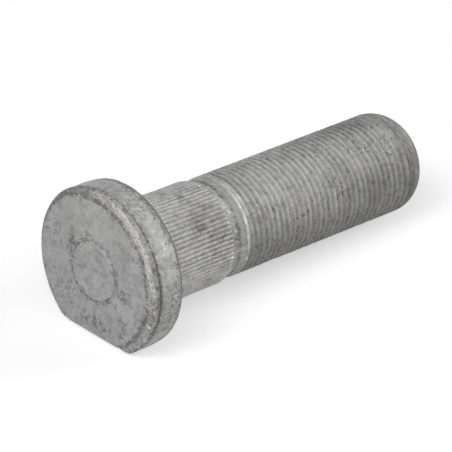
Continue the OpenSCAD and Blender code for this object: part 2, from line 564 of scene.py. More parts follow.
# %% [markdown]
# Up to here every surface is as true as a drawing. A struck head isn't: the band around its disc was rolled
# over into a ridge, lumpy where the metal tore from the die, and the rest is a little uneven. Displace
# modifiers push the points, and a vertex group says how much each point takes part. Clouds vary the height.
# It could be sculpted by hand, but this way the same surface comes out of every run.

# %% Helpers that weigh points and push them
def weigh(piece, name, weights):
    """Makes a vertex group that holds these weights, one for each point."""
    only(piece)
    group = piece.vertex_groups.new(name=name)
    levels = np.round(np.clip(weights, 0, 1) * 100).astype(int)
    for level in np.unique(levels[levels > 0]):
        group.add(np.flatnonzero(levels == level).tolist(), float(level) / 100, "REPLACE")
    print(f"{name}: {int((levels > 0).sum())} points")


def push(piece, name, weights, height, grain=0, direction="NORMAL", basis="ORIGINAL_PERLIN"):
    """Moves points by height times their weight. With a grain, clouds of that size turn it up and down."""
    weigh(piece, name, weights)
    bpy.ops.object.modifier_add(type="DISPLACE")
    displace = piece.modifiers[-1]
    displace.direction = direction
    displace.strength = height
    displace.mid_level = 0
    displace.vertex_group = name
    if grain:
        clouds = bpy.data.textures.new(name, "CLOUDS")
        clouds.noise_scale = grain
        clouds.noise_depth = 2
        clouds.noise_basis = basis
        displace.texture = clouds
        displace.texture_coords = "LOCAL"
        displace.mid_level = 0.5
    bpy.ops.object.modifier_apply(modifier=displace.name)


def around(angles, stops):
    """Reads a value off a list of (degrees, value) stops around the axis, from +Y by way of +Z."""
    return np.interp(angles, [stop[0] for stop in stops], [stop[1] for stop in stops], period=360)


# %% Where each point of the head lies
co = places(stud)
axis_r = radius_of(co)
angle = np.degrees(np.arctan2(co[:, 2], co[:, 1])) % 360
toward_disc = face_centre[0] * np.cos(np.radians(angle)) + face_centre[1] * np.sin(np.radians(angle))
off_axis = Vector(face_centre).length_squared
disc_edge = toward_disc + np.sqrt((face_r + face_slope) ** 2 - off_axis + toward_disc**2)
band_w = band_end_r - disc_edge
across = np.clip((axis_r - disc_edge) / band_w, 0, 1.2)
in_front = co[:, 0] < crease_x
on_head = co[:, 0] < 0
on_disc = in_front & (axis_r < disc_edge)
on_band = in_front & ~on_disc
print(f"band is {band_w.min() / MM:.2f} to {band_w.max() / MM:.2f} mm wide")
print(f"{int(on_disc.sum())} points on the disc, {int(on_band.sum())} on the band")

# %% Raise the ridge and roughen the struck surfaces
ridge = np.sin(np.pi * fade(across, 0.05, 1.15)) * fade(band_w, 0.3 * MM, 2.2 * MM)
push(stud, "ridge", on_band * ridge, height=-0.27 * MM, direction="X")
torn = around(angle, [(0, 0.3), (70, 0.6), (95, 1), (200, 1), (240, 0.7), (300, 0.3)])
above_flat = fade(co[:, 2], flat_z + 0.5 * MM, flat_z + 2 * MM)
band_wt = on_band * above_flat * np.sin(np.pi * np.clip(across, 0, 1)) ** 0.5 * fade(band_w, 0, 0.8 * MM)
push(stud, "lumps", band_wt * torn, height=0.34 * MM, grain=1.5 * MM)
push(stud, "tears", band_wt * torn, height=0.24 * MM, grain=0.55 * MM, basis="IMPROVED_PERLIN")
on_pad = in_front & (radius_of(co, face_centre) < pad_r - 0.5 * MM)
dish = on_pad * (1 - fade(radius_of(co, face_centre), 3.7 * MM, 4.6 * MM))
push(stud, "pad_dish", dish, height=0.2 * MM, direction="X")
push(stud, "disc_waves", on_disc * above_flat, height=0.12 * MM, grain=4 * MM)
on_rim = on_head & ~in_front & (axis_r > rim_end_r - 0.2 * MM)
push(stud, "rim_waves", on_rim * above_flat, height=0.16 * MM, grain=3 * MM)
on_lip = on_band * (across > 0.85) * above_flat
push(stud, "lip_nicks", on_lip, height=0.12 * MM, grain=0.9 * MM, basis="IMPROVED_PERLIN")

# %% [markdown]
# Studs knock against each other in their box, so thread crests and rib edges carry small nicks. Each nick
# is a random place on the shank, drawn with a seeded generator so that it is the same on every run. Points
# near it are pushed in, crests more than roots.

# %% Nick the thread and the ribs
THREAD_NICKS = 420
RIB_NICKS = 90
rng = np.random.default_rng(seed=7)


def nicks(co, count, x0, x1, r, size):
    """Weights around random places on the shank: 1 in the middle of a nick, 0 past its edge."""
    weights = np.zeros(len(co))
    for i in range(count):
        turn = rng.uniform(0, 2 * math.pi)
        middle = np.array([rng.uniform(x0, x1), r * math.cos(turn), r * math.sin(turn)])
        stretch = np.array([rng.uniform(0.6, 1.6), 1, 1])
        apart = np.linalg.norm((co - middle) / stretch, axis=1) / (size * rng.uniform(0.5, 1.2))
        weights = np.maximum(weights, (1 - np.clip(apart, 0, 1)) ** 0.7)
    return weights


co = places(stud)
crest = fade(radius_of(co), thread_r - 0.5 * thread_depth, thread_r)
on_thread = (co[:, 0] > thread_x0 + pitch) & (co[:, 0] < thread_x1)
thread_nicks = on_thread * crest * nicks(co, THREAD_NICKS, thread_x0, tip_x, thread_r, 0.75 * MM)
push(stud, "thread_nicks", thread_nicks, height=-0.19 * MM)
push(stud, "thread_wear", on_thread * crest, height=0.1 * MM, grain=0.9 * MM)
waver = fade(co[:, 0], thread_x0 + pitch, thread_x0 + 3 * pitch)
waver = waver * (1 - fade(co[:, 0], thread_x1 - 3 * pitch, thread_x1))
push(stud, "thread_waver", waver, height=0.2 * MM, grain=1.4 * MM, direction="X")
on_ribs = (co[:, 0] > groove_start) & (co[:, 0] < rib_end_x)
rib_nicks = on_ribs * nicks(co, RIB_NICKS, groove_start, rib_end_x, rib_r, 0.6 * MM)
push(stud, "rib_nicks", rib_nicks, height=-0.14 * MM)
push(stud, "rib_wear_and_light", on_ribs * 1.0, height=0.07 * MM, grain=1.1 * MM)
on_neck = (co[:, 0] > rib_end_x + 0.3 * MM) & (co[:, 0] < collar_x)
push(stud, "neck_waves", on_neck * 1.0, height=0.1 * MM, grain=1.2 * MM)

# %% [markdown]
# Smooth shading hides the facets of a mesh, but an edge that is sharp on the real stud has to stay sharp.
# Shading by angle keeps each edge that turns by more than a given angle, such as the ends of the ribs.

# %% Shade smooth
SHARP_TURN = 60
only(stud)
bpy.ops.object.shade_smooth_by_angle(angle=math.radians(SHARP_TURN))
print(f"edges that turn by more than {SHARP_TURN} degrees stay sharp")

# %% [markdown]
# The finish depends on where a point lies: grooves hold dirt, the torn ridge is bare and bright, creases
# are dark. Part of it is painted light and shade: the underside, the far end and the seat's edge are painted
# darker, and some edges carry painted highlights. Those facts could be painted by hand. Here they are worked
# out from each point's place, which follows the shape exactly, and stored on the points as attributes from 0
# to 1. The material reads them, and its noise breaks up their edges, so no border looks drawn. First come the
# places: along the axis, around it, and how deep a point lies in its groove.

# %% Measure where each point lies
co = places(stud)
x_mm, y_mm, z_mm = (co / MM).T
axis_r = radius_of(co)
angle = np.degrees(np.arctan2(co[:, 2], co[:, 1])) % 360
on_threads = co[:, 0] > thread_x0
on_ribs = (co[:, 0] > groove_start) & (co[:, 0] < rib_end_x)
crest_r = rib_r + rib_growth * np.maximum(0, 1 - co[:, 0] / rib_growth_len)
along_ribs = np.clip((co[:, 0] - groove_start) / (rib_end_x - groove_start), 0, 1)
local_depth = groove_depth_head + (groove_depth - groove_depth_head) * along_ribs
local_depth = local_depth * (SHAPE_BY_HEAD[0] + (SHAPE_AT_END[0] - SHAPE_BY_HEAD[0]) * along_ribs)
groove = np.where(on_threads, (np.minimum(thread_r, envelope_r(co[:, 0])) - axis_r) / thread_depth, 0)
groove = np.where(on_ribs, (crest_r - axis_r) / local_depth, groove)
pad_edge = (radius_of(co, face_centre) - pad_r - pad_slope) / MM
crease_mm = (crease_x + 0.1 * MM) / MM
edge_mm = (thread_x0 + 0.1 * MM) / MM
print(f"{int(on_threads.sum())} points on the thread and tip, {int(on_ribs.sum())} on the ribs")


# %% Helpers that draw soft marks
def line(values, middle, width):
    """1 on a thin line and 0 past its width, for an array."""
    return np.clip(1 - np.abs(values - middle) / width, 0, 1)


def spot(u, v, middle, size):
    """1 in the middle of a soft oval and 0 far from it, for arrays."""
    return np.exp(-(((u - middle[0]) / size[0]) ** 2) - ((v - middle[1]) / size[1]) ** 2)


def spots(where, u, v, rows):
    """Soft ovals on a part of the stud. A row holds one's middle, its size and its strength."""
    return [where * spot(u, v, row[:2], row[2:4]) * row[4] for row in rows]


def underside(start, full):
    """0 to 1 from start to full degrees, and on under the stud as far as its back."""
    return fade(angle, start, full) * fade(-angle, -300, -270)


# %% [markdown]
# The head is darker around the pad, in the crease behind the lip, along both sides of the torn ridge and
# behind the rim. A painted shadow lies along the rounded edge of the seat, and painted shade on the disc
# leaves its upper part lighter. Each list gives a value for directions around the axis, in degrees, so that a
# mark is strong on one side and fades on the other. Ovals on the disc are placed by y and z, marks on the
# shank by x and direction, all in millimetres and degrees.

# %% Where the ridge starts and ends
EDGE_AT = [
    (0, 0.4), (45, 0.45), (70, -0.2), (88, -0.4), (103, -0.45), (117, -0.45), (132, -0.6), (147, 0),
    (162, -0.4), (178, -0.5), (192, 0.1), (210, -0.1), (250, 0.2), (300, 0.3),
]
RIDGE_END = [
    (0, 0.8), (85, 0.74), (105, 0.76), (117, 0.76), (132, 0.68), (150, 0.72), (162, 0.66), (178, 0.78),
    (220, 0.8),
]
RIDGE_FALL = 0.28

off_disc = (axis_r - disc_edge) / MM - around(angle, EDGE_AT)
ridge_end = around(angle, RIDGE_END)
past_ridge = fade(across, ridge_end, ridge_end + RIDGE_FALL)
plateau = fade(off_disc, 0.15, 0.75) * (1 - past_ridge)
print(f"{int((on_band * plateau > 0.5).sum())} points on top of the ridge")

# %% Dark marks and painted shade on the head
PAD_CREASE = [(0, 0.85), (60, 0.6), (110, 0.5), (180, 0.62), (240, 0.66), (300, 0.8)]
CREASE = [(0, 0.7), (90, 0.65), (125, 0.7), (150, 0.9), (175, 1.15), (215, 1.2), (240, 1)]
DISC_EDGE = [(0, 0.5), (60, 0.65), (90, 0.75), (125, 0.62), (150, 0.62), (172, 0.5), (195, 0.7)]
EDGE_W = [(0, 0.8), (60, 1.4), (80, 1.1), (110, 1), (150, 1.1), (185, 1.2), (195, 1.6), (215, 1.3)]
DISC_RIM = [
    (0, 0.25), (70, 0.28), (98, 0.1), (112, 0.2), (130, 0.3), (150, 0.58), (180, 0.4), (210, 0.4),
    (290, 0.4), (320, 0.55), (345, 0.35),
]
LIP_DIRT = [(0, 0.5), (95, 0.55), (110, 0.48), (125, 0.3), (150, 0.36), (160, 0.58), (200, 0.55)]
BAND_DIRT = [
    (0, 0.4), (25, 0.5), (60, 0.58), (72, 0.5), (88, 0.2), (100, 0), (160, 0.05), (178, 0.25), (190, 0.52),
    (204, 0.4), (222, 0.24), (290, 0.4), (318, 0.58), (340, 0.45),
]
RIM_BACK = [(0, 0.45), (85, 0.6), (104, 0.68), (130, 0.56), (150, 0.46), (190, 0.5)]

head_dirt_and_shade = [
    # Around the pad: a dark line at its foot, a wider smudge, and the edge of the dish in it.
    line(pad_edge, 0.2, 0.5) * around(angle, PAD_CREASE) * 1.1,
    line(pad_edge, 0.5, 1.6) * around(angle, PAD_CREASE) * 0.7,
    line(pad_edge, -2.55, 0.5) * in_front * 0.34,
    # The crease behind the lip.
    line(x_mm, crease_mm, 0.9) * on_head * around(angle, CREASE),
    # The ridge's inner side, a smudge inside it, and painted shade on the whole disc but its upper part.
    line(off_disc, 0, around(angle, EDGE_W)) * in_front * around(angle, DISC_EDGE) * 1.1,
    on_disc * fade(axis_r, disc_edge - 2.2 * MM, disc_edge) * around(angle, DISC_RIM),
    on_disc * 0.08 * (1 - spot(y_mm, z_mm, (1, 9), (9, 6))),
    # The band, and the ridge's side towards the lip.
    on_band * around(angle, BAND_DIRT),
    on_band * past_ridge * around(angle, LIP_DIRT),
    # The back of the rim, and a painted shadow along the rounded edge of the seat.
    on_rim * fade(co[:, 0], -3.2 * MM, -1 * MM) * around(angle, RIM_BACK),
    on_head * (axis_r > rim_end_r - 0.6 * MM) * fade(co[:, 0], -0.75 * MM, -0.45 * MM),
]
# Each row: middle in y and z, size in y and z, strength.
head_dirt_and_shade += spots(on_disc, y_mm, z_mm, [
    (8.2, 2.6, 1.8, 3.4, 0.62), (13.2, 2.5, 1.6, 3.6, 0.36), (-11.7, 7.3, 1.6, 2.8, 0.36),
    (9.5, -7, 4, 4, 0.36), (0, -12, 9, 2.2, 0.48), (-8, -3, 3, 3, 0.42), (-9, -9.5, 3, 2.5, 0.45),
])
head_dirt_and_shade += spots(on_rim, angle, x_mm, [(106, -3.5, 14, 4, 0.3), (185, -2.5, 22, 3, 0.45)])
print(f"{len(head_dirt_and_shade)} marks of dirt on the head")

# %% [markdown]
# On the shank dirt lies in a few patches and around the tip, and a dark line runs in the corner where the
# neck meets the collar. The side that the stud lies on is painted darkest, a painted shade.

# %% Dark marks and painted shade on the shank
NECK_LINE = [
    (0, 0.5), (80, 0.55), (100, 0.55), (118, 0.66), (127, 0.25), (138, 0.3), (150, 0.85), (166, 0.75),
    (178, 0.1), (192, 0.25), (215, 0.5),
]
TIP_DIRT = [(0, 0.3), (95, 0.2), (125, 0.3), (148, 0.62), (200, 0.66), (230, 0.4)]

shank_dirt_and_shade = [
    # The ribs: a trace on all of them, and more in the grooves on top.
    on_ribs * 0.12,
    on_ribs * fade(groove, 0.3, 0.8) * spot(angle, x_mm, (92, 10), (13, 30)) * 0.55,
    # The neck, and the corner where it meets the collar.
    on_neck * 0.14,
    line(x_mm, 22.45, 0.75) * around(angle, NECK_LINE),
    # The thread: all but a lighter place on its top, and painted shade on the side that it lies on.
    on_threads * 0.2 * (1 - spot(angle, x_mm, (114, 36), (20, 14))),
    on_threads * underside(165, 200) * 0.28,
    # The last turns, and the tip as far as the end face.
    on_threads * fade(x_mm, 70, 72.5) * 0.3,
    on_threads * fade(x_mm, 70.3, 72.5) * (1 - fade(x_mm, 76.4, 77.2)) * around(angle, TIP_DIRT),
]
shank_dirt_and_shade += spots(on_neck, x_mm, angle, [(21.5, 165, 1, 7, 0.75)])
shank_dirt_and_shade += spots(on_ribs, x_mm, angle, [
    (12.2, 139, 2.2, 12, 0.55), (13.4, 94, 1.1, 12, 0.5), (15, 152, 1, 6, 0.5), (7, 157, 0.6, 4, 0.5),
    (18.5, 160, 2.5, 10, 0.35),
])
# The dark marks hold dirt and painted shade: the disc below its upper part, the thread's underside and the
# seat's edge.
dirt_and_shade = np.max(head_dirt_and_shade + shank_dirt_and_shade, axis=0)
print(f"{len(shank_dirt_and_shade)} marks of dirt on the shank")

# %% [markdown]
# Bare steel shows on top of the torn ridge, where the plating has gone. Painted highlights in the same
# bright steel lie along the pad's lower edge, on the rim, on the collar's sharp edge and on the ends of the
# ribs. The first crest of the thread and a spot on the neck are made bright too.

# %% Bare metal and painted highlights
BAND_BARE = [
    (0, 0), (66, 0), (84, 0.5), (100, 0.56), (110, 0.96), (132, 0.96), (150, 0.9), (166, 0.66), (180, 0.32),
    (200, 0.3), (216, 0.34), (232, 0),
]
PAD_EDGE_GLINT = [(0, 0.12), (60, 0.1), (200, 0.15), (240, 0.4), (275, 0.55), (315, 0.55), (340, 0.2)]
COLLAR_EDGE_HIGHLIGHT = [(0, 0.2), (85, 0.25), (108, 0.62), (135, 1.05), (160, 0.68), (182, 0.9), (200, 0.35)]
RIB_END_GLINT = [(0, 0.4), (95, 0.5), (155, 0.55), (165, 0.25), (260, 0.25)]

rib_ends = on_ribs * fade(x_mm, rib_end_x / MM - 0.7, rib_end_x / MM - 0.3) * (groove < 0.6)
first_crest = spot(x_mm, angle, (25.9, 128), (0.6, 26))
bright = [
    # The top of the ridge, and painted highlights on the rim and along the pad's edge.
    on_band * plateau * around(angle, BAND_BARE),
    on_rim * spot(angle, x_mm, (132, -3.9), (24, 2.2)) * 0.28,
    line(pad_edge, -0.35, 0.4) * around(angle, PAD_EDGE_GLINT),
    # A painted highlight on the collar's edge, the first crest, a spot on the neck, and painted glints on the
    # rib ends.
    line(x_mm, edge_mm, 0.5) * around(angle, COLLAR_EDGE_HIGHLIGHT) * 0.92,
    first_crest * 0.4,
    spot(x_mm, angle, (21.5, 131), (0.8, 10)) * 0.5,
    rib_ends * around(angle, RIB_END_GLINT),
]
bare_and_glint = np.max(bright, axis=0)
print(f"{int((bare_and_glint > 0.5).sum())} points of bare metal")

# %% [markdown]
# Silt settles in the grooves of the ribs and the thread. It fills them from the root upwards, so a groove
# looks dark up to a level that the lists give for each direction.

# %% Silt in the grooves
RIB_SILT = [
    (0, 0.8), (75, 1), (104, 1), (116, 0.3), (134, 0.1), (152, 0.1), (165, 0.4), (200, 0.5), (260, 0.8),
]
THREAD_SILT = [(0, 0.6), (75, 0.8), (105, 0.65), (125, 0.3), (145, 0.05), (200, 0), (260, 0.4)]
RIB_SILT_START = [(0, 0.3), (75, 0.22), (98, 0.25), (114, 0.4), (150, 0.5), (165, 0.4), (200, 0.4)]
SILT_START = [(0, 0.5), (75, 0.25), (95, 0.3), (115, 0.5), (150, 0.6), (210, 0.6), (260, 0.5)]
SILT_BORDER = 0.35

rib_silt_start = around(angle, RIB_SILT_START) - 0.25 * (1 - along_ribs)
silt_start = np.where(on_ribs, rib_silt_start, around(angle, SILT_START))
silt = fade(groove, silt_start, silt_start + SILT_BORDER)
silt = silt * np.where(on_ribs, around(angle, RIB_SILT), around(angle, THREAD_SILT))
print(f"{int((silt > 0.5).sum())} points under silt")

# %% [markdown]
# Crests are rubbed by whatever the stud has touched, which makes them lighter and leaves the roots dark. On
# the side that faces up, only the crests are light. Lower down the grooves are painted lighter as well, a
# painted light against their shade, and the ribs' low side near the head is painted lighter too.

# %% What is rubbed, and painted light
THREAD_WEAR_AND_LIGHT = [
    (0, 0.4), (80, 0.15), (102, 0.95), (130, 0.9), (150, 0.5), (170, 0.35), (190, 0.35), (260, 0.3),
]
RIB_WEAR_AND_LIGHT = [
    (0, 0.5), (80, 0.8), (100, 1), (112, 0.6), (130, 0.4), (152, 0.4), (168, 1), (205, 1), (260, 0.6),
]
# Below zero a bias paints the grooves lighter than the crests, a painted light against their shade.
CREST_BIAS = [(0, 1), (112, 1), (128, 0.3), (142, -0.8), (158, -1.5), (210, -2), (260, 0)]
RIB_CREST_BIAS = [(0, 1), (98, 1), (112, -0.5), (130, -2.2), (152, -2.2), (166, 0), (200, 0.3), (260, 1)]
TIP_FROM = [(0, 68), (80, 69), (122, 69.2), (142, 68.4), (158, 67.3), (200, 67.6), (260, 68)]
TIP_BORDER = 2.8

# Painted light: the ribs' low side stays lighter near the head.
rib_wear_and_light = around(angle, RIB_WEAR_AND_LIGHT) * (1 - 0.5 * fade(x_mm, 8, 13) * fade(angle, 104, 124))
on_tip = on_threads * fade(x_mm - around(angle, TIP_FROM), 0, TIP_BORDER)
crests = (on_threads - on_tip) * around(angle, THREAD_WEAR_AND_LIGHT) + on_ribs * rib_wear_and_light
crest_bias = np.where(on_ribs, around(angle, RIB_CREST_BIAS), around(angle, CREST_BIAS))
handled_and_lit = [
    # The crests of the thread and the ribs, with painted light in their grooves on the lower side.
    crests * (1 - fade(groove, 0.2, 0.8) * crest_bias),
    # Two slanting strokes across the pad.
    on_disc * spot(y_mm + 0.4 * z_mm, z_mm, (-0.6, -2), (0.7, 2.6)) * 0.7,
    on_disc * spot(y_mm - 0.3 * z_mm, z_mm, (2.4, 0.6), (0.5, 1.5)) * 0.6,
    # A painted highlight on the collar's edge, the first crest, and a faint place on the collar.
    line(x_mm, edge_mm, 0.6) * around(angle, COLLAR_EDGE_HIGHLIGHT) * 1.2,
    first_crest,
    spot(x_mm, angle, (23.6, 140), (0.6, 30)) * 0.1,
]
# Painted light on the face's upper part, a painted highlight on the rim, and lighter places on the thread and
# the neck.
handled_and_lit += spots(on_disc, y_mm, z_mm, [(2, 9.5, 10, 5, 0.45)])
handled_and_lit += spots(on_rim, angle, x_mm, [(133, -3.8, 24, 2.4, 0.55)])
handled_and_lit += spots(on_threads, angle, x_mm, [(112, 33, 18, 10, 0.55)])
handled_and_lit += spots(on_neck, angle, x_mm, [(105, 21.4, 9, 0.8, 0.7), (180, 21.4, 7, 0.8, 0.8)])
rubbed_and_lit = np.max(handled_and_lit, axis=0)
print(f"{int((rubbed_and_lit > 0.5).sum())} points rubbed light")

# %% [markdown]
# Painted shade: an even darkening of the far end, the tip, the collar, the band, one side and the lower part
# of the disc, and the side that the stud lies on.

# %% Painted shade
BAND_SHADE = [(0, 0.3), (30, 0.45), (68, 0.45), (90, 0), (150, 0), (180, 0.15), (220, 0.25)]
TIP_SHADE = [
    (0, 0.4), (75, 0.35), (105, 0.25), (122, 0.4), (142, 0.78), (158, 0.86), (185, 0.7), (205, 0.6),
    (260, 0.5),
]
FAR_SHADE = [
    (0, 0.4), (75, 0.6), (90, 0.45), (105, 0.22), (120, 0.18), (135, 0.2), (150, 0.34), (165, 0.5),
    (200, 0.75), (260, 0.6),
]
COLLAR_SHADE = [
    (0, 0.25), (75, 0.1), (90, 0.28), (105, 0.2), (120, 0.2), (135, 0.28), (150, 0.34), (165, 0.24),
    (180, 0), (195, 0.05), (210, 0.3),
]

lying = underside(160, 195)
sunken = fade(groove, 0.15, 0.7)
painted_shades = [
    # One side and the lower part of the disc, and the band.
    on_disc * 0.12 * fade(y_mm, 2, 10),
    on_disc * 0.1 * fade(-z_mm, 4, 9),
    on_band * around(angle, BAND_SHADE),
    # The tip, less on its end face, and the far half of the thread.
    on_tip * (1 - fade(x_mm, 76.4, 78.2) * 0.55) * around(angle, TIP_SHADE),
    on_threads * fade(x_mm, 44, 66) * around(angle, FAR_SHADE) * (1 - lying * sunken),
    # The crests on the side that the stud lies on, and the collar.
    on_threads * lying * (1 - sunken) * 0.66,
    fade(x_mm, 22.5, 22.9) * (1 - fade(x_mm, 24, 24.3)) * around(angle, COLLAR_SHADE),
]
painted_shade = np.max(painted_shades, axis=0)
print(f"{int((painted_shade > 0.5).sum())} points under a strong film")

# %% Store the facts on the points
COLLAR_SKIN = 0.3
RIM_SKIN = 0.7
on_collar = (co[:, 0] > collar_x) & (co[:, 0] < thread_x0 + pitch)
skin = np.where(co[:, 0] > 0, 1 - (1 - COLLAR_SKIN) * on_collar, on_rim * RIM_SKIN)
maps = {"silt": silt, "rubbed_and_lit": rubbed_and_lit, "dirt_and_shade": dirt_and_shade, "bare_and_glint": bare_and_glint, "skin": skin, "painted_shade": painted_shade}
for name, values in maps.items():
    layer = stud.data.attributes.new(name, "FLOAT", "POINT")
    layer.data.foreach_set("value", np.clip(values, 0, 1).astype(np.float32))
    print(f"{name}: mean {float(np.clip(values, 0, 1).mean()):.3f}")

# %% [markdown]
# Materials here are built from a few small helpers, so that a finish reads as a recipe: noise of a size in
# millimetres, a soft step that turns noise into patches, and a mix that lays one colour over another.

# %% Helpers for building a node tree
class Recipe:
    """A node tree that is built one node at a time."""

    def __init__(self, owner, shader):
        owner.use_nodes = True
        self.tree = owner.node_tree
        self.shader = self.tree.nodes[shader]

    def node(self, kind, **settings):
        """Adds a node and sets its options."""
        made = self.tree.nodes.new(kind)
        for option, value in settings.items():
            setattr(made, option, value)
        return made

    def put(self, socket, value):
        """Links an output to a socket, or writes a plain value there."""
        if isinstance(value, bpy.types.NodeSocket):
            self.tree.links.new(value, socket)
        else:
            socket.default_value = value

    def sum(self, a, b, operation="ADD", clamp=False):
        """Arithmetic on two values."""
        made = self.node("ShaderNodeMath", operation=operation, use_clamp=clamp)
        self.put(made.inputs[0], a)
        self.put(made.inputs[1], b)
        return made.outputs[0]

    def times(self, a, b, clamp=False):
        """One value times another."""
        return self.sum(a, b, "MULTIPLY", clamp)

    def step(self, value, start, end, low=0.0, high=1.0):
        """Goes smoothly from low to high while value goes from start to end."""
        made = self.node("ShaderNodeMapRange", interpolation_type="SMOOTHSTEP")
        self.put(made.inputs["Value"], value)
        for socket, number in zip(made.inputs[1:5], (start, end, low, high)):
            socket.default_value = number
        return made.outputs["Result"]


# %% Helpers for a finish on Object coordinates
class Finish(Recipe):
    """A material with patterns on Object coordinates. Sizes are in millimetres."""

    def __init__(self, name):
        self.material = bpy.data.materials.new(name)
        super().__init__(self.material, "Principled BSDF")
        self.mm = self.node("ShaderNodeVectorMath", operation="SCALE").outputs[0]
        coordinates = self.node("ShaderNodeTexCoord")
        self.tree.links.new(coordinates.outputs["Object"], self.mm.node.inputs[0])
        self.mm.node.inputs["Scale"].default_value = 1 / MM

    def clouds(self, grain, detail=4, roughness=0.55, at=None, shift=0):
        """Noise whose patches are about grain millimetres wide."""
        made = self.node("ShaderNodeTexNoise", noise_dimensions="4D")
        self.put(made.inputs["Vector"], at or self.mm)
        made.inputs["W"].default_value = shift
        made.inputs["Scale"].default_value = 1 / grain
        made.inputs["Detail"].default_value = detail
        made.inputs["Roughness"].default_value = roughness
        return made.outputs["Fac"]

    def stretched(self, scale, turn=(0, 0, 0)):
        """Places whose patterns are stretched: a small scale makes them long that way."""
        made = self.node("ShaderNodeMapping")
        self.put(made.inputs["Vector"], self.mm)
        made.inputs["Rotation"].default_value = [math.radians(a) for a in turn]
        made.inputs["Scale"].default_value = scale
        return made.outputs[0]

    def over(self, share, below, above, blend="MIX"):
        """Lays the colour above over the colour below."""
        made = self.node("ShaderNodeMix", data_type="RGBA", blend_type=blend)
        self.put(made.inputs["Factor"], share)
        self.put(made.inputs[6], below)
        self.put(made.inputs[7], above)
        return made.outputs[2]

    def fact(self, name):
        """An attribute stored on the points."""
        return self.node("ShaderNodeAttribute", attribute_name=name).outputs["Fac"]

    def tell(self, layer):
        """Prints how many nodes there are once a layer is done."""
        print(f"{layer}: {len(self.tree.nodes)} nodes so far")


# %% [markdown]
# The stud has a dull grey plating, mottled at the scale of a millimetre. The head is a little smoother and
# more even than the shank, which the attribute skin tells: 0 on the face, 1 on the shank. Three noises of
# different sizes are added up, so that no single scale stands out.

# %% The plating's grey
DARK_FACE, DARK_SHANK = (0.374, 0.374, 0.374, 1), (0.265, 0.265, 0.261, 1)
LIGHT_FACE, LIGHT_SHANK = (0.496, 0.496, 0.496, 1), (0.515, 0.514, 0.507, 1)
steel = Finish("steel")
mottle = steel.clouds(1.3, detail=7, roughness=0.62)
drift = steel.clouds(7, detail=2, shift=3)
grain = steel.clouds(0.38, detail=3, shift=5)
tone = steel.sum(steel.times(mottle, 0.55), steel.times(drift, 0.28))
tone = steel.sum(tone, steel.times(grain, 0.17))
skin_share = steel.fact("skin")
low_tone = steel.over(skin_share, DARK_FACE, DARK_SHANK)
high_tone = steel.over(skin_share, LIGHT_FACE, LIGHT_SHANK)
colour = steel.over(steel.step(tone, 0.41, 0.59), low_tone, high_tone)
steel.tell("plating")

# %% [markdown]
# Silt, rubbing and painted shade come next. The silt is thicker in some places than in others, the crests
# are rubbed a little lighter, partly as painted light, and the painted shade multiplies, so it only dims what
# is under it.

# %% Silt, rubbed crests, painted light and painted shade
SILT = (0.16, 0.158, 0.152, 1)
RUBBED_AND_LIT = (0.53, 0.525, 0.508, 1)
SHADE_GREY = (0.45, 0.447, 0.44, 1)
patches = steel.clouds(1.0, detail=5, roughness=0.68, shift=11)
settled = steel.times(steel.fact("silt"), steel.step(patches, 0.4, 0.58, 0.16, 1), clamp=True)
colour = steel.over(settled, colour, SILT)
contact = steel.step(steel.clouds(1.8, detail=4, shift=71), 0.38, 0.62, 0.35, 1)
# The rubbed colour is partly painted light: in the lower grooves, on the face's upper part and on the rim.
colour = steel.over(steel.times(steel.fact("rubbed_and_lit"), contact), colour, RUBBED_AND_LIT)
# Painted shade: the far end, the tip, the band, the disc's side and the underside are dimmed by multiplying.
colour = steel.over(steel.fact("painted_shade"), colour, SHADE_GREY, blend="MULTIPLY")
steel.tell("silt, rubbing and film")

# %% [markdown]
# Dirt is dark and has ragged borders: the attribute says where it lies, and noise decides how far it
# spreads. The same dark paints shade on the disc, on the thread's underside and along the seat's edge. Soft
# smudges, wider and fainter, lie under it. Fine dark veins are small cracks in the plating that dirt has
# filled. They break off where a second noise is low, and are faint where the steel is clean.

# %% Smudges, dirt and painted shade, and veins
SMUDGE = (0.2, 0.197, 0.192, 1)
DIRT_AND_SHADE_GREY = (0.15, 0.147, 0.143, 1)
smudge = steel.step(steel.clouds(2.6, detail=6, roughness=0.66, shift=90), 0.49, 0.63)
smudge = steel.times(smudge, steel.step(skin_share, 0.7, 1, 0.37, 0.12))
colour = steel.over(smudge, colour, SMUDGE)

ragged = steel.sum(steel.clouds(0.85, detail=6, roughness=0.68, shift=17), 0.5, "SUBTRACT")
dirt_and_shade_share = steel.sum(steel.fact("dirt_and_shade"), steel.times(ragged, 2.6))
dirt_and_shade_share = steel.step(dirt_and_shade_share, 0.28, 0.8, 0, 0.9)
colour = steel.over(dirt_and_shade_share, colour, DIRT_AND_SHADE_GREY)

wander = steel.clouds(3.4, detail=1.5, roughness=0.5, shift=48)
off_line = steel.sum(steel.sum(wander, 0.5, "SUBTRACT"), 0, "ABSOLUTE")
vein = steel.step(off_line, 0.012, 0.045, 1, 0)
broken = steel.step(steel.clouds(1.6, detail=3, shift=53), 0.53, 0.6)
dirt_and_shade_gate = steel.step(steel.fact("dirt_and_shade"), 0, 0.2, 0.2, 1)
vein = steel.times(steel.times(vein, broken), dirt_and_shade_gate)
colour = steel.over(steel.times(vein, 0.6), colour, DIRT_AND_SHADE_GREY)
steel.tell("smudges, dirt and veins")

# %% [markdown]
# The end was turned before the thread was rolled, which left fine rings around it. A noise that is
# stretched across the axis gives them, and steps along X keep them at the end. Handling left light
# scratches and scuffs. They are noise too, turned and stretched into short strokes that come in groups.

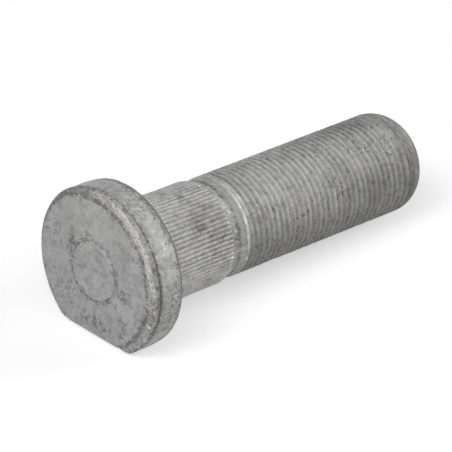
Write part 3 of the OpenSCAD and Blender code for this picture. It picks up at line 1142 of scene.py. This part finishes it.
# %% Turned rings and scuffs
PIT = (0.12, 0.118, 0.114, 1)
SCUFF = (0.56, 0.555, 0.55, 1)
around_axis = steel.stretched((1, 0.04, 0.04))
along = steel.node("ShaderNodeSeparateXYZ")
steel.put(along.inputs[0], steel.mm)
rings = steel.step(steel.clouds(0.5, detail=2, at=around_axis, shift=68), 0.46, 0.54)
rings = steel.times(rings, steel.step(along.outputs["X"], 70, 73))
rings = steel.times(rings, steel.step(along.outputs["X"], 77.6, 78.3, 1, 0.4))
colour = steel.over(steel.times(rings, 0.85), colour, PIT)

in_strokes = steel.stretched((1, 2.6, 0.3), turn=(24, 8, 0))
stroke = steel.step(steel.clouds(0.7, detail=2, at=in_strokes, shift=59), 0.645, 0.69)
stroke = steel.times(stroke, steel.step(steel.clouds(5, detail=3, shift=61), 0.5, 0.62))
colour = steel.over(steel.times(stroke, 0.5), colour, SCUFF)
steel.tell("rings and scuffs")

# %% [markdown]
# On the torn ridge the steel is bare, bright and a little warm, with brown stains. Two noises tear its
# border, one fine and one coarse. The painted highlights use the same steel: on the pad's edge the ridge's
# warm steel, on the rim and the shank a neutral grey without stains.

# %% Bare steel, painted highlights and stains
RIDGE_STEEL, SHANK_STEEL_AND_GLINT = (0.7, 0.676, 0.658, 1), (0.66, 0.655, 0.642, 1)
STAIN = (0.3, 0.245, 0.21, 1)
worn_edge = steel.sum(steel.clouds(0.6, detail=6, roughness=0.7, shift=23), 0.5, "SUBTRACT")
torn_edge = steel.sum(steel.clouds(2.1, detail=3, shift=73), 0.5, "SUBTRACT")
worn_edge = steel.sum(steel.times(worn_edge, 2.6), steel.times(torn_edge, 1.8))
shiny = steel.step(steel.sum(steel.fact("bare_and_glint"), worn_edge), 0.3, 0.75)
shiny = steel.times(shiny, steel.step(steel.fact("bare_and_glint"), 0.03, 0.16))
stain = steel.step(steel.clouds(0.8, detail=6, roughness=0.75, shift=29), 0.5, 0.6)
stained = steel.times(stain, steel.step(steel.fact("bare_and_glint"), 0.15, 0.6))
stained = steel.times(stained, steel.step(skin_share, 0, 0.3, 1, 0))
bare_steel_and_glint = steel.over(steel.step(skin_share, 0, 0.3), RIDGE_STEEL, SHANK_STEEL_AND_GLINT)
colour = steel.over(shiny, colour, bare_steel_and_glint)
colour = steel.over(steel.times(stained, 0.65), colour, STAIN)
steel.tell("bare steel")

# %% [markdown]
# Last come dark specks in clusters, and fewer large ones where the plating flaked off. Both are also pits
# in the surface, so they are used again in the relief.

# %% Specks and flakes
speck = steel.step(steel.clouds(0.46, detail=3, shift=31), 0.58, 0.64)
speck = steel.times(speck, steel.step(steel.clouds(4.5, detail=3, shift=37), 0.40, 0.62, 0.3, 1))
flake = steel.step(steel.clouds(0.8, detail=5, roughness=0.65, shift=43), 0.61, 0.67)
flake = steel.times(flake, steel.step(skin_share, 0, 1, 0.3, 1))
pit = steel.times(steel.sum(speck, flake, "MAXIMUM"), dirt_and_shade_gate)
colour = steel.over(steel.times(pit, 0.85), colour, PIT)
steel.put(steel.shader.inputs["Base Color"], colour)
steel.tell("specks and flakes")

# %% [markdown]
# Plating that has dulled scatters light, so it is rough, and only partly metallic. Bare steel and painted
# highlights are smoother, and dirt and painted shade are rougher. The relief is built from the same noises as
# the colour, so that a dark pit is also a hollow. It is stronger on the shank than on the pressed face.

# %% The plating's gloss and relief
gloss = steel.step(mottle, 0.35, 0.65, 0.5, 0.62)
gloss = steel.sum(gloss, steel.times(shiny, -0.1))
gloss = steel.sum(gloss, steel.times(dirt_and_shade_share, 0.15), clamp=True)
steel.put(steel.shader.inputs["Roughness"], gloss)
steel.shader.inputs["Metallic"].default_value = 0.25

height = steel.sum(steel.times(mottle, 0.5), steel.times(grain, 0.35))
height = steel.sum(height, steel.times(steel.clouds(0.16, detail=2, shift=41), 0.15))
height = steel.times(height, steel.step(skin_share, 0, 1, 1, 2.6))
for hollow, depth in ((pit, -0.35), (vein, -0.3), (rings, -0.2)):
    height = steel.sum(height, steel.times(hollow, depth))
bump = steel.node("ShaderNodeBump")
bump.inputs["Strength"].default_value = 1
bump.inputs["Distance"].default_value = 0.1 * MM
steel.put(bump.inputs["Height"], height)
steel.put(steel.shader.inputs["Normal"], bump.outputs["Normal"])
steel.tell("gloss and relief")

# %% [markdown]
# The finished mesh takes the place of the plain solid: it gets the steel finish, rides on the root body,
# and the solid is hidden.

# %% Give the stud its finish and its place in the frame
stud.data.materials.clear()
stud.data.materials.append(steel.material)
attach(stud, "root")
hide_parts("stud")
print(f"{stud.name} replaces the solid: {len(stud.data.vertices)} points")

# %% [markdown]
# The camera looks at the head from in front, on its left and above. It stands almost a metre away with a
# long lens, so the far end is hardly smaller than the near one. Its three own directions are worked out
# from two angles and a small roll, and a slide to the side puts the stud in the middle of the picture.

# %% Camera
view_mid = Vector((35, 0, 0)) * MM
camera_azimuth = math.radians(-44.545)
camera_elevation = math.radians(28.046)
camera_roll = math.radians(3.494)
camera_distance = 941.6 * MM
camera_slide = (-4.823 * MM, -2.791 * MM)
camera_lens = 357.4
camera_sensor = 36

away = Vector((
    math.sin(camera_azimuth) * math.cos(camera_elevation),
    -math.cos(camera_azimuth) * math.cos(camera_elevation),
    math.sin(camera_elevation),
))
level = Vector((math.cos(camera_azimuth), math.sin(camera_azimuth), 0))
upright = away.cross(level)
right = math.cos(camera_roll) * level + math.sin(camera_roll) * upright
up = math.cos(camera_roll) * upright - math.sin(camera_roll) * level
camera_place = view_mid + right * camera_slide[0] + up * camera_slide[1] + away * camera_distance
bpy.ops.object.camera_add(location=camera_place)
camera = bpy.context.object
camera.name = "camera"
camera.rotation_euler = Matrix((right, up, away)).transposed().to_euler()
camera.data.lens = camera_lens
camera.data.sensor_width = camera_sensor
camera.data.clip_start = 0.05
camera.data.clip_end = 10
bpy.context.scene.camera = camera
print(f"camera at {[round(value, 3) for value in camera_place]} m, lens {camera_lens} mm")

# %% [markdown]
# The stud lies on its flat and on the far end of its thread, so its axis droops a little. The stud keeps
# its frame and the floor is tilted under it instead. The floor is white paper: it takes the shadow, and for
# the camera and for reflections it glows a little, which makes it as white as the backdrop without more
# light on the stud.

# %% Floor and backdrop
floor_width = 3
floor_gap = 0.02 * MM
floor_glow = 0.5
bpy.ops.mesh.primitive_plane_add(size=floor_width, location=(0, 0, 0))
floor = bpy.context.object
floor.name = "floor"
floor_droop = math.atan((-flat_z - thread_r) / thread_x1)
floor.rotation_euler = (0, -floor_droop, 0)
floor.location = (0, 0, flat_z - floor_gap)
print(f"floor tilted by {math.degrees(floor_droop):.2f} degrees")


def seen_directly(recipe):
    """1 where the camera, a reflection or a clear material looks, and 0 for the light that bounces."""
    rays = recipe.node("ShaderNodeLightPath").outputs
    seen = recipe.sum(rays["Is Camera Ray"], rays["Is Glossy Ray"], "MAXIMUM")
    return recipe.sum(seen, rays["Is Transmission Ray"], "MAXIMUM")


floor.data.materials.append(bpy.data.materials.new("paper"))
paper = Recipe(floor.data.materials[0], "Principled BSDF")
paper.shader.inputs["Base Color"].default_value = (0.8, 0.8, 0.8, 1)
paper.shader.inputs["Roughness"].default_value = 1
paper.shader.inputs["Specular IOR Level"].default_value = 0
paper.shader.inputs["Emission Color"].default_value = (1, 1, 1, 1)
paper.put(paper.shader.inputs["Emission Strength"], paper.times(seen_directly(paper), floor_glow))

# %% [markdown]
# The light is that of a small studio with round soft lamps. The strongest stands behind the stud at the
# right and skims the thread and the ribs, which makes each crest show. Two stand high at the left and in
# front for the face, one is low at the left, and a weak one behind lifts the far edge. They stay low enough
# for grey to look grey. The world adds a faint even light, and looks white only where the camera or a
# reflection sees it.

# %% Lamps and world
LAMP_WIDTH = 0.5
LAMPS = {
    "lamp_right": (105, 20, 5.2),
    "lamp_left": (-45, 50, 2.4),
    "lamp_front": (-15, 50, 2.0),
    "lamp_low_left": (-45, 20, 1.2),
    "lamp_back": (180, 45, 0.4),
}
WORLD_LIGHT = 0.12

# Each lamp is 1 m away. Its direction is counted from the camera to its right, and up from level, in degrees.
for name, (azimuth, elevation, watts) in LAMPS.items():
    a = camera_azimuth + math.radians(azimuth)
    e = math.radians(elevation)
    toward = Vector((math.sin(a) * math.cos(e), -math.cos(a) * math.cos(e), math.sin(e)))
    turn = toward.to_track_quat("Z", "Y").to_euler()
    bpy.ops.object.light_add(type="AREA", location=view_mid + toward, rotation=turn)
    lamp = bpy.context.object
    lamp.name = name
    lamp.data.shape = "DISK"
    lamp.data.size = LAMP_WIDTH
    lamp.data.energy = watts
    print(f"{name}: {watts} W")

world = bpy.data.worlds.new("world")
bpy.context.scene.world = world
sky = Recipe(world, "Background")
sky.shader.inputs["Color"].default_value = (1, 1, 1, 1)
sky.put(sky.shader.inputs["Strength"], sky.step(seen_directly(sky), 0, 1, WORLD_LIGHT, 1))
bpy.context.scene.view_settings.view_transform = "Standard"
